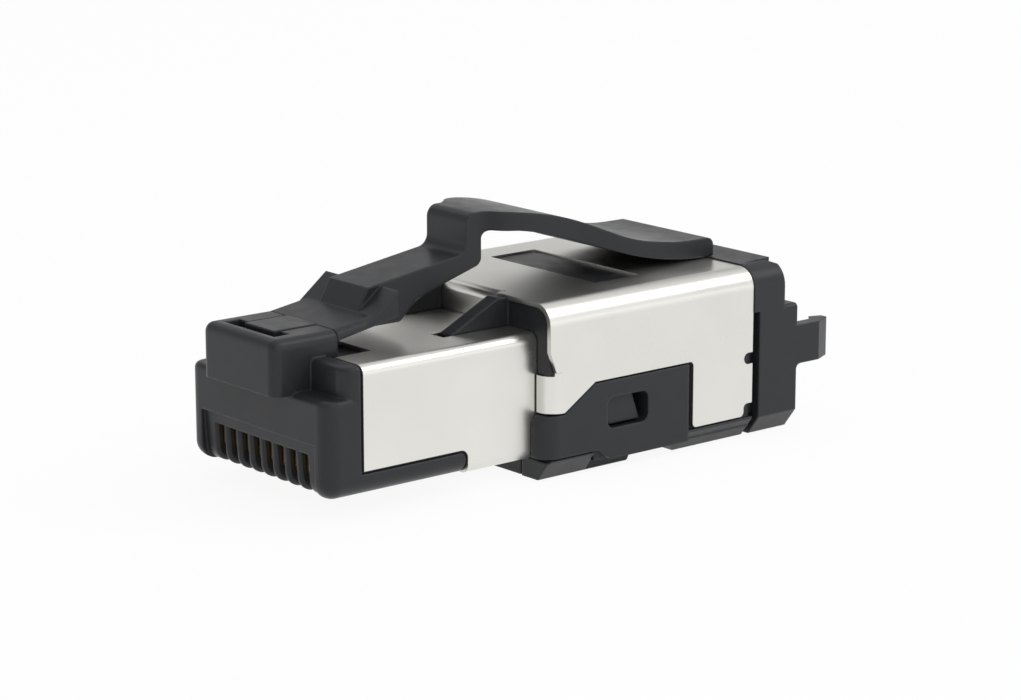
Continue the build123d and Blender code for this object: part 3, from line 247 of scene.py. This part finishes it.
@dataclass(frozen=True)
class Finish:
    """Colour, shine and surface detail of one material."""

    slot: Slot
    colour: Colour
    # Colour laid on sharp edges through the soft-edge mask: part wear, part painted light on the
    # edges.
    edge_wear_and_light: Colour
    roughness: float
    roughness_spread: float
    metallic: float = 0.0
    specular: float = 0.5
    coat: float = 0.0
    coat_roughness: float = 0.2
    tone_spread: float = 0.07
    tone_low: float = 0.3
    tone_high: float = 0.7
    grain_scale: float = 9000.0
    bump: float = 0.08
    bump_depth: float = 0.00002
    edge_radius: float = 0.0001
    rolled: bool = False

    def shade(self, share: float) -> tuple[float, float, float, float]:
        """Return the colour times a share."""
        return (*[share * part for part in self.colour], 1.0)

    def build(self, effects: Effects) -> bpy.types.Material:
        """Make the material.

        Args:
            effects: Node groups that the material draws on.

        Returns:
            The material, ready for the pieces' slots.
        """
        material = bpy.data.materials.new(self.slot.value)
        material.use_nodes = True
        material.node_tree.nodes.clear()
        tree = NodeTree(material.node_tree)
        effect = tree.add("ShaderNodeGroup")
        effect.node_tree = effects.rolled if self.rolled else effects.grain
        effect.inputs["Scale"].default_value = self.grain_scale
        edges = tree.add("ShaderNodeGroup")
        edges.node_tree = effects.soft_edges
        edges.inputs["Radius"].default_value = self.edge_radius
        tone = tree.add("ShaderNodeMix", data_type="RGBA")
        tone.inputs["A"].default_value = self.shade(1 - self.tone_spread)
        tone.inputs["B"].default_value = self.shade(1 + self.tone_spread)
        # Edge colour over the edge mask: part wear, part painted light, lighter or darker along
        # the edges.
        edge_wear_and_light_mix = tree.add("ShaderNodeMix", data_type="RGBA")
        edge_wear_and_light_mix.inputs["B"].default_value = (*self.edge_wear_and_light, 1.0)
        shine = tree.add(
            "ShaderNodeMapRange",
            From_Min=self.tone_low,
            From_Max=self.tone_high,
            To_Min=self.roughness - self.roughness_spread,
            To_Max=self.roughness + self.roughness_spread,
        )
        bump = tree.add("ShaderNodeBump", Strength=self.bump, Distance=self.bump_depth)
        shader = tree.add("ShaderNodeBsdfPrincipled")
        shader.inputs["Metallic"].default_value = self.metallic
        shader.inputs["Specular IOR Level"].default_value = self.specular
        shader.inputs["Coat Weight"].default_value = self.coat
        shader.inputs["Coat Roughness"].default_value = self.coat_roughness
        output = tree.add("ShaderNodeOutputMaterial")
        tree.join(effect.outputs["Tone"], tone.inputs["Factor"])
        tree.join(tone.outputs["Result"], edge_wear_and_light_mix.inputs["A"])
        tree.join(edges.outputs["Edge"], edge_wear_and_light_mix.inputs["Factor"])
        tree.join(effect.outputs["Tone"], shine.inputs["Value"])
        tree.join(effect.outputs["Height"], bump.inputs["Height"])
        tree.join(edges.outputs["Normal"], bump.inputs["Normal"])
        tree.join(edge_wear_and_light_mix.outputs["Result"], shader.inputs["Base Color"])
        tree.join(shine.outputs["Result"], shader.inputs["Roughness"])
        tree.join(bump.outputs["Normal"], shader.inputs["Normal"])
        tree.join(shader.outputs["BSDF"], output.inputs["Surface"])
        return material


FINISHES: tuple[Finish, ...] = (
    Finish(
        Slot.HOUSING,
        colour=srgb(42, 43, 46),
        # Edges a little lighter than the body: part wear, part painted highlight along the
        # edges.
        edge_wear_and_light=srgb(56, 57, 60),
        roughness=0.36,
        roughness_spread=0.04,
        specular=0.28,
        bump=0.12,
        edge_radius=0.00016,
    ),
    Finish(
        Slot.SHEET,
        colour=srgb(224, 223, 218),
        # Edges darker than the sheet: painted shade that damps glints on the edges, and dark
        # seams.
        edge_wear_and_light=srgb(150, 149, 145),
        roughness=0.31,
        roughness_spread=0.04,
        metallic=1.0,
        grain_scale=2500.0,
        bump=0.04,
        edge_radius=0.00005,
        rolled=True,
    ),
    Finish(
        Slot.CONTACT,
        colour=srgb(214, 176, 96),
        edge_wear_and_light=srgb(228, 194, 120),
        roughness=0.28,
        roughness_spread=0.04,
        metallic=1.0,
        edge_radius=0.00005,
    ),
    Finish(
        Slot.BOARD,
        colour=srgb(30, 92, 56),
        edge_wear_and_light=srgb(60, 120, 80),
        roughness=0.35,
        roughness_spread=0.05,
        coat=0.4,
        grain_scale=5000.0,
    ),
    Finish(
        Slot.BLADE,
        colour=srgb(206, 206, 204),
        edge_wear_and_light=srgb(226, 226, 224),
        roughness=0.3,
        roughness_spread=0.05,
        metallic=1.0,
        edge_radius=0.00004,
    ),
    Finish(
        Slot.BLOCK,
        colour=srgb(40, 40, 42),
        edge_wear_and_light=srgb(58, 58, 60),
        roughness=0.5,
        roughness_spread=0.04,
    ),
    Finish(
        Slot.ORGANIZER,
        colour=srgb(205, 207, 208),
        edge_wear_and_light=srgb(222, 224, 225),
        roughness=0.4,
        roughness_spread=0.05,
        coat=0.1,
    ),
    Finish(
        Slot.SPRING,
        colour=srgb(200, 198, 192),
        edge_wear_and_light=srgb(222, 220, 214),
        roughness=0.28,
        roughness_spread=0.04,
        metallic=1.0,
        rolled=True,
    ),
)


class Wardrobe:
    """All finishes, built once and handed out by slot."""

    def __init__(self) -> None:
        """Build every material from one set of effects."""
        effects = Effects()
        self.materials = {finish.slot: finish.build(effects) for finish in FINISHES}

    def dress(self, node: str, slot: Slot) -> None:
        """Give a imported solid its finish.

        Args:
            node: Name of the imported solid.
            slot: Material slot that the solid takes.
        """
        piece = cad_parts[node]
        for place in piece.material_slots:
            place.material = self.materials[slot]
        log.info("dressed %s as %s", node, slot.value)

    def dress_piece(self, piece: bpy.types.Object, slot: Slot) -> None:
        """Give a new piece its finish and let it ride on the plug.

        Args:
            piece: Object that this file built.
            slot: Material slot that the piece takes.
        """
        piece.data.materials.append(self.materials[slot])
        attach(piece, "root")
        log.info("added %s as %s", piece.name, slot.value)


@dataclass
class Nose:
    """Front of the plug: the housing, its shield and the eight contacts."""

    wardrobe: Wardrobe
    contacts: int = 8

    def dress(self) -> None:
        """Dress the housing, the shield and the contacts."""
        self.wardrobe.dress("nose_housing", Slot.HOUSING)
        self.wardrobe.dress("nose_shield", Slot.SHEET)
        for number in range(1, self.contacts + 1):
            self.wardrobe.dress(f"contact_{number}", Slot.CONTACT)


@dataclass
class Latch:
    """Lever with the two locking ears."""

    wardrobe: Wardrobe

    def dress(self) -> None:
        """Dress the lever."""
        self.wardrobe.dress("latch_lever", Slot.HOUSING)


@dataclass
class Body:
    """Body housing with its shell, its bottom cover and the web beside the lever's arm."""

    wardrobe: Wardrobe
    web_inside: float = -0.00165
    web_thickness: float = 0.0003
    web_edge: float = 0.00005
    web_edge_steps: int = 2
    # Corners of the web's side, as places along the plug and heights.
    web_profile: tuple[tuple[float, float], ...] = (
        (-0.00572, 0.0076),
        (-0.00309, 0.00905),
        (-0.00296, 0.00905),
        (-0.00296, 0.0076),
    )

    def build_web(self) -> bpy.types.Object:
        """Stand the thin web on the nose's shield, against the shell's strap.

        Returns:
            The web, with softly rounded edges.
        """
        shape = bmesh.new()
        inner = [shape.verts.new((self.web_inside, y, z)) for y, z in self.web_profile]
        side = shape.faces.new(inner)
        swept = bmesh.ops.extrude_face_region(shape, geom=[side])
        moved = [part for part in swept["geom"] if isinstance(part, bmesh.types.BMVert)]
        bmesh.ops.translate(shape, verts=moved, vec=(-self.web_thickness, 0, 0))
        bmesh.ops.recalc_face_normals(shape, faces=shape.faces)
        foot = self.web_profile[0][1]
        crown = [edge for edge in shape.edges if max(end.co.z for end in edge.verts) > foot]
        bmesh.ops.bevel(
            shape,
            geom=crown,
            offset=self.web_edge,
            segments=self.web_edge_steps,
            profile=0.5,
            affect="EDGES",
        )
        mesh = bpy.data.meshes.new("guide_web")
        shape.to_mesh(mesh)
        shape.free()
        web = bpy.data.objects.new("guide_web", mesh)
        bpy.context.scene.collection.objects.link(web)
        return web

    def dress(self) -> None:
        """Dress the housing, the shell, the cover and the web."""
        self.wardrobe.dress("body_housing", Slot.HOUSING)
        self.wardrobe.dress("rear_shell", Slot.SHEET)
        self.wardrobe.dress("bottom_cover", Slot.HOUSING)
        self.wardrobe.dress_piece(self.build_web(), Slot.HOUSING)


@dataclass
class CableEnd:
    """Rear cap and the clamp spring that grips the cable's screen."""

    wardrobe: Wardrobe

    def dress(self) -> None:
        """Dress the cap and the spring."""
        self.wardrobe.dress("rear_cap", Slot.HOUSING)
        self.wardrobe.dress("clamp_spring", Slot.SPRING)


@dataclass
class Wiring:
    """Board, wire terminals and the two blocks around them."""

    wardrobe: Wardrobe
    terminals: int = 8

    def dress(self) -> None:
        """Dress the board, the blades and the blocks."""
        self.wardrobe.dress("circuit_board", Slot.BOARD)
        self.wardrobe.dress("terminal_block", Slot.BLOCK)
        self.wardrobe.dress("wire_organizer", Slot.ORGANIZER)
        for number in range(1, self.terminals + 1):
            self.wardrobe.dress(f"idc_terminal_{number}", Slot.BLADE)


@dataclass(frozen=True)
class Softbox:
    """One lamp panel of the studio, with its power in watts."""

    name: str
    place: Place
    width: float
    height: float
    power: float


@dataclass
class Studio:
    """Plain pale floor, soft lamps and the camera."""

    floor_radius: float = 3.0
    floor_segments: int = 96
    floor_colour: Colour = (0.93, 0.93, 0.93)
    floor_seen_share: float = 0.92
    sky_strength: float = 0.4
    # Rise of the line of sight, from 0 at level to 1 straight up, and the strength seen there.
    sky_seen_stops: tuple[tuple[float, float], ...] = (
        (0.12, 1.0),
        (0.2, 0.62),
        (0.45, 0.6),
        (0.65, 0.25),
    )
    aim: Place = (0.0, 0.0, 0.006)
    # The camera was solved on the nose's edges and slots in the photo.
    camera_place: Place = (0.12055, -0.099995, 0.04291)
    camera_line: Place = (-0.74746, 0.62167, -0.23413)
    lens: float = 108.64
    sensor_width: float = 36.0
    clip_start: float = 0.005
    clip_end: float = 20.0
    softboxes: tuple[Softbox, ...] = (
        Softbox("overhead_softbox", (-0.05, 0.05, 0.45), width=0.8, height=0.8, power=1.2),
        Softbox("back_softbox", (0.22, 0.34, 0.37), width=0.24, height=0.24, power=0.5),
        Softbox("front_softbox", (0.32, -0.1, 0.34), width=0.4, height=0.4, power=0.25),
        Softbox("side_softbox", (0.4, 0.1, 0.22), width=0.6, height=0.6, power=0.55),
    )

    @staticmethod
    def seen_rays(tree: NodeTree) -> bpy.types.NodeSocket:
        """Tell the rays that show a surface from the rays that only light the plug.

        Args:
            tree: Material or world tree that the nodes go into.

        Returns:
            Socket that is 1 for what is seen directly, mirrored or through glass.
        """
        path = tree.add("ShaderNodeLightPath")
        mirrored = tree.add("ShaderNodeMath", operation="MAXIMUM")
        seen = tree.add("ShaderNodeMath", operation="MAXIMUM")
        tree.join(path.outputs["Is Camera Ray"], mirrored.inputs[0])
        tree.join(path.outputs["Is Glossy Ray"], mirrored.inputs[1])
        tree.join(mirrored.outputs[0], seen.inputs[0])
        tree.join(path.outputs["Is Transmission Ray"], seen.inputs[1])
        return seen.outputs[0]

    def build_floor(self) -> None:
        """Lay the pale floor under the plug."""
        shape = bmesh.new()
        bmesh.ops.create_circle(
            shape, cap_ends=True, segments=self.floor_segments, radius=self.floor_radius
        )
        mesh = bpy.data.meshes.new("studio_floor")
        shape.to_mesh(mesh)
        shape.free()
        floor = bpy.data.objects.new("studio_floor", mesh)
        bpy.context.scene.collection.objects.link(floor)
        material = bpy.data.materials.new("studio_floor")
        material.use_nodes = True
        material.node_tree.nodes.clear()
        tree = NodeTree(material.node_tree)
        share = tree.add("ShaderNodeMath", operation="MULTIPLY")
        share.inputs[1].default_value = self.floor_seen_share
        matt = tree.add("ShaderNodeBsdfDiffuse", Color=(*self.floor_colour, 1.0))
        bright = tree.add("ShaderNodeEmission", Color=WHITE, Strength=1.0)
        blend = tree.add("ShaderNodeMixShader")
        output = tree.add("ShaderNodeOutputMaterial")
        tree.join(self.seen_rays(tree), share.inputs[0])
        tree.join(share.outputs[0], blend.inputs["Fac"])
        tree.join(matt.outputs["BSDF"], blend.inputs[1])
        tree.join(bright.outputs["Emission"], blend.inputs[2])
        tree.join(blend.outputs["Shader"], output.inputs["Surface"])
        mesh.materials.append(material)

    def build_lamps(self) -> None:
        """Hang the softboxes, each turned to the plug."""
        for box in self.softboxes:
            lamp = bpy.data.lights.new(box.name, "AREA")
            lamp.shape = "RECTANGLE"
            lamp.size = box.width
            lamp.size_y = box.height
            lamp.energy = box.power
            holder = bpy.data.objects.new(box.name, lamp)
            holder.location = box.place
            line = Vector(self.aim) - Vector(box.place)
            holder.rotation_euler = line.to_track_quat("-Z", "Y").to_euler()
            bpy.context.scene.collection.objects.link(holder)

    def build_sky(self) -> None:
        """Set a pale sky, seen as a white backdrop with a dimmer ceiling over it."""
        world = bpy.data.worlds.new("studio_sky")
        world.use_nodes = True
        world.node_tree.nodes.clear()
        tree = NodeTree(world.node_tree)
        line = tree.add("ShaderNodeTexCoord")
        rise = tree.add("ShaderNodeSeparateXYZ")
        seen = tree.add("ShaderNodeValToRGB")
        stops = seen.color_ramp.elements
        for place, (height, level) in enumerate(self.sky_seen_stops):
            stop = stops[place] if place < len(stops) else stops.new(height)
            stop.position = height
            stop.color = (level, level, level, 1.0)
        strength = tree.add("ShaderNodeMapRange", To_Min=self.sky_strength)
        sky = tree.add("ShaderNodeBackground", Color=WHITE)
        output = tree.add("ShaderNodeOutputWorld")
        tree.join(line.outputs["Generated"], rise.inputs["Vector"])
        tree.join(rise.outputs["Z"], seen.inputs["Fac"])
        tree.join(self.seen_rays(tree), strength.inputs["Value"])
        tree.join(seen.outputs["Color"], strength.inputs["To Max"])
        tree.join(strength.outputs["Result"], sky.inputs["Strength"])
        tree.join(sky.outputs["Background"], output.inputs["Surface"])
        bpy.context.scene.world = world

    def build_camera(self) -> None:
        """Set the camera at the photograph's viewing angle."""
        data = bpy.data.cameras.new("photo_camera")
        data.lens = self.lens
        data.sensor_width = self.sensor_width
        data.clip_start = self.clip_start
        data.clip_end = self.clip_end
        camera = bpy.data.objects.new("photo_camera", data)
        camera.location = self.camera_place
        camera.rotation_euler = Vector(self.camera_line).to_track_quat("-Z", "Y").to_euler()
        bpy.context.scene.collection.objects.link(camera)
        bpy.context.scene.camera = camera
        bpy.context.scene.view_settings.view_transform = "Standard"

    def build(self) -> None:
        """Build the whole studio."""
        self.build_floor()
        self.build_lamps()
        self.build_sky()
        self.build_camera()
        log.info("built the studio with %d lamps", len(self.softboxes))


def main() -> None:
    """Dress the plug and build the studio."""
    logging.basicConfig(level=logging.INFO, format="%(message)s")
    wardrobe = Wardrobe()
    for assembly in (Nose, Latch, Body, CableEnd, Wiring):
        assembly(wardrobe).dress()
    Studio().build()


if __name__ == "__main__":
    main()
